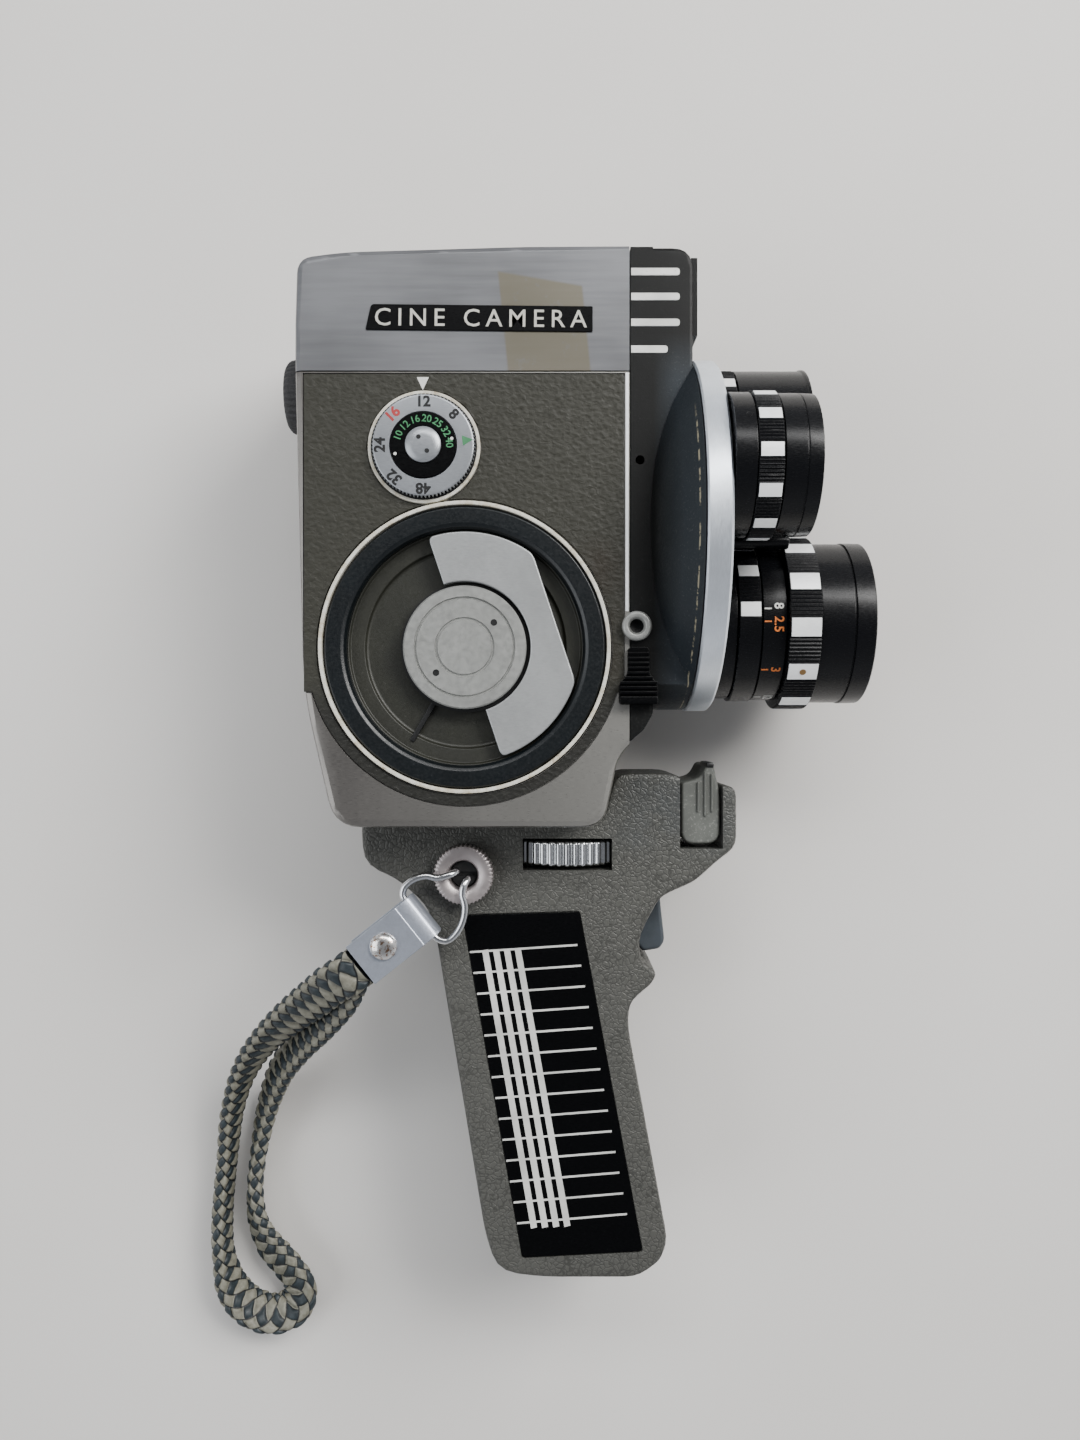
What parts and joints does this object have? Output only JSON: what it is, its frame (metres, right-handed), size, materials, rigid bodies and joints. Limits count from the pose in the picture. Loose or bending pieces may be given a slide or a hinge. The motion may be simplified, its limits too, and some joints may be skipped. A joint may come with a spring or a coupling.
{
  "type": "cine camera",
  "caption": "Spring-wound 8 mm cine camera with a turret of lenses, folding winding key, speed dial, film door, and a pistol grip with trigger and wrist strap.",
  "frame": {"origin": "middle of the footprint of the camera as it lies on its film-door side, strap left out", "axes": "+X the way the lenses look, +Y the camera's top, +Z its winding side"},
  "size_m": [0.1618, 0.2619, 0.081],
  "materials": {
    "warm_silver": "brushed",
    "cover_silver": "brushed",
    "silver_ring": "satin",
    "chrome": "polished",
    "steel": "brushed",
    "brass": "turned",
    "charcoal_paint": "satin paint, slightly worn",
    "blue_black": "satin",
    "olive_paint": "satin",
    "cream_trim": "aged",
    "leatherette": "pebbled",
    "hammertone": "hammered",
    "gloss_black": "gloss",
    "lens_black": "gloss",
    "matt_black": "matt",
    "blue_plastic": "satin",
    "rubber": "ribbed",
    "webbing": "flat braid",
    "lens_glass": "coated"
  },
  "bodies": {
    "housing": {"main_housing": "warm_silver", "top_cover": "cover_silver", "nameplate": "gloss_black", "left_leatherette": "leatherette", "mechanism_plate": "steel", "tripod_bush": "brass", "front_casting": "charcoal_paint", "finder_window": "lens_glass", "meter_window": "lens_glass", "meter_cell": "olive_paint", "finder_tube": "matt_black", "cable_socket": "chrome", "winding_trim_ring": "cream_trim", "winding_ring": "blue_black", "winding_dish": "olive_paint", "dial_base_ring": "cream_trim", "film_gate": "chrome", "pressure_plate": "steel", "turret_ring": "silver_ring", "eyepiece_lens": "lens_glass", "grip_left": "hammertone", "grip_right": "hammertone", "grip_panel_left": "gloss_black", "grip_panel_right": "gloss_black", "strap_bolt": "chrome", "strap_screw": "steel"},
    "film_door": {"film_door": "warm_silver", "door_leatherette": "leatherette"},
    "door_latch": {"door_latch": "steel"},
    "winding_hub": {"winding_hub": "steel"},
    "winding_key": {"winding_key": "silver_ring"},
    "mainspring": {"mainspring_barrel": "brass"},
    "speed_dial": {"speed_dial": "silver_ring", "dial_cap": "chrome"},
    "film_speed_ring": {"film_speed_ring": "gloss_black"},
    "turret": {"turret_plate": "lens_black", "normal_lens_barrel": "lens_black", "normal_lens_glass": "lens_glass", "tele_lens_barrel": "lens_black", "tele_lens_glass": "lens_glass", "wide_lens_barrel": "lens_black", "wide_lens_glass": "lens_glass"},
    "normal_focus": {"normal_focus_ring": "lens_black"},
    "tele_focus": {"tele_focus_ring": "lens_black"},
    "tele_aperture": {"tele_aperture_ring": "lens_black"},
    "wide_focus": {"wide_focus_ring": "lens_black"},
    "eyecup": {"eyecup": "rubber"},
    "release_slider": {"release_slider": "gloss_black"},
    "finger_pusher": {"finger_pusher": "hammertone"},
    "trigger": {"trigger": "blue_plastic"},
    "clamp_wheel": {"clamp_wheel": "chrome", "tripod_screw": "steel"},
    "split_ring": {"split_ring": "chrome"},
    "clasp": {"clasp": "steel", "clasp_rivet": "steel", "wrist_strap": "webbing"},
    "take_up": {"take_up_spindle": "steel", "take_up_spool": "matt_black"},
    "supply": {"supply_spindle": "steel"},
    "shutter": {"shutter": "matt_black"}
  },
  "joints": [
    {"name": "door_swing", "type": "hinge", "parent": "housing", "child": "film_door", "pos_m": [0.0063, 0.05344, 0.0005], "axis": [0, 1, 0], "range_deg": [-100, 0]},
    {"name": "latch_turn", "type": "hinge", "parent": "film_door", "child": "door_latch", "pos_m": [-0.0512, 0.05344, 0.001], "axis": [0, 0, 1], "range_deg": [0, 90]},
    {"name": "winding_spin", "type": "hinge", "parent": "housing", "child": "winding_hub", "pos_m": [-0.02505, 0.02924, 0.058], "axis": [0, 0, 1], "continuous": true},
    {"name": "key_fold", "type": "hinge", "parent": "winding_hub", "child": "winding_key", "pos_m": [-0.02505, 0.02924, 0.0589], "axis": [0.3173, -0.9483, 0], "range_deg": [0, 90]},
    {"name": "mainspring_spin", "type": "hinge", "parent": "housing", "child": "mainspring", "pos_m": [-0.02505, 0.02924, 0.043], "axis": [0, 0, 1], "continuous": true},
    {"name": "speed_turn", "type": "hinge", "parent": "housing", "child": "speed_dial", "pos_m": [-0.0338, 0.07254, 0.062], "axis": [0, 0, 1], "range_deg": [-180, 45]},
    {"name": "film_speed_turn", "type": "hinge", "parent": "speed_dial", "child": "film_speed_ring", "pos_m": [-0.0338, 0.07254, 0.062], "axis": [0, 0, 1], "range_deg": [-60, 120]},
    {"name": "turret_spin", "type": "hinge", "parent": "housing", "child": "turret", "pos_m": [0.0313, 0.06154, 0.04], "axis": [1, 0, 0], "continuous": true},
    {"name": "normal_focus_turn", "type": "hinge", "parent": "turret", "child": "normal_focus", "pos_m": [0.0373, 0.06723, 0.06547], "axis": [1, 0, 0], "range_deg": [-150, 150]},
    {"name": "tele_focus_turn", "type": "hinge", "parent": "turret", "child": "tele_focus", "pos_m": [0.0503, 0.03663, 0.0322], "axis": [1, 0, 0], "range_deg": [-150, 150]},
    {"name": "tele_aperture_turn", "type": "hinge", "parent": "turret", "child": "tele_aperture", "pos_m": [0.0383, 0.03663, 0.0322], "axis": [1, 0, 0], "range_deg": [-35, 55]},
    {"name": "wide_focus_turn", "type": "hinge", "parent": "turret", "child": "wide_focus", "pos_m": [0.0373, 0.08075, 0.02233], "axis": [1, 0, 0], "range_deg": [-35, 55]},
    {"name": "eyecup_turn", "type": "hinge", "parent": "housing", "child": "eyecup", "pos_m": [-0.0647, 0.08894, 0.04], "axis": [1, 0, 0], "range_deg": [-90, 90]},
    {"name": "release_slide", "type": "slide", "parent": "housing", "child": "release_slider", "axis": [0, 1, 0], "range_m": [-0.003, 0.0012]},
    {"name": "trigger_pull", "type": "hinge", "parent": "housing", "child": "trigger", "pos_m": [0.0109, -0.02806, 0.03], "axis": [0, 0, 1], "range_deg": [-9, 0], "stiffness_Nm_per_rad": 0.05},
    {"name": "pusher_slide", "type": "slide", "parent": "housing", "child": "finger_pusher", "axis": [0, 1, 0], "range_m": [0, 0.0025]},
    {"name": "clamp_spin", "type": "hinge", "parent": "housing", "child": "clamp_wheel", "pos_m": [-0.0024, -0.01776, 0.03], "axis": [0, 1, 0], "continuous": true},
    {"name": "split_ring_swivel", "type": "hinge", "parent": "housing", "child": "split_ring", "pos_m": [-0.0263, -0.02216, 0.045], "axis": [0, 0, 1], "range_deg": [-20, 12]},
    {"name": "clasp_fold", "type": "hinge", "parent": "split_ring", "child": "clasp", "pos_m": [-0.0364, -0.03176, 0.0469], "axis": [-0.6237, 0.7816, 0], "range_deg": [0, 40]},
    {"name": "take_up_spin", "type": "hinge", "parent": "housing", "child": "take_up", "pos_m": [-0.0307, 0.03244, 0.018], "axis": [0, 0, 1], "continuous": true},
    {"name": "supply_spin", "type": "hinge", "parent": "housing", "child": "supply", "pos_m": [-0.0307, 0.08844, 0.018], "axis": [0, 0, 1], "continuous": true},
    {"name": "shutter_spin", "type": "hinge", "parent": "housing", "child": "shutter", "pos_m": [0.0213, 0.06944, 0.026], "axis": [1, 0, 0], "continuous": true}
  ],
  "couplings": [
    {"joint": "trigger_pull", "follows": "pusher_slide", "rad_per_m": -62.8},
    {"joint": "take_up_spin", "follows": "mainspring_spin", "ratio": 1.5},
    {"joint": "shutter_spin", "follows": "mainspring_spin", "ratio": 12}
  ]
}
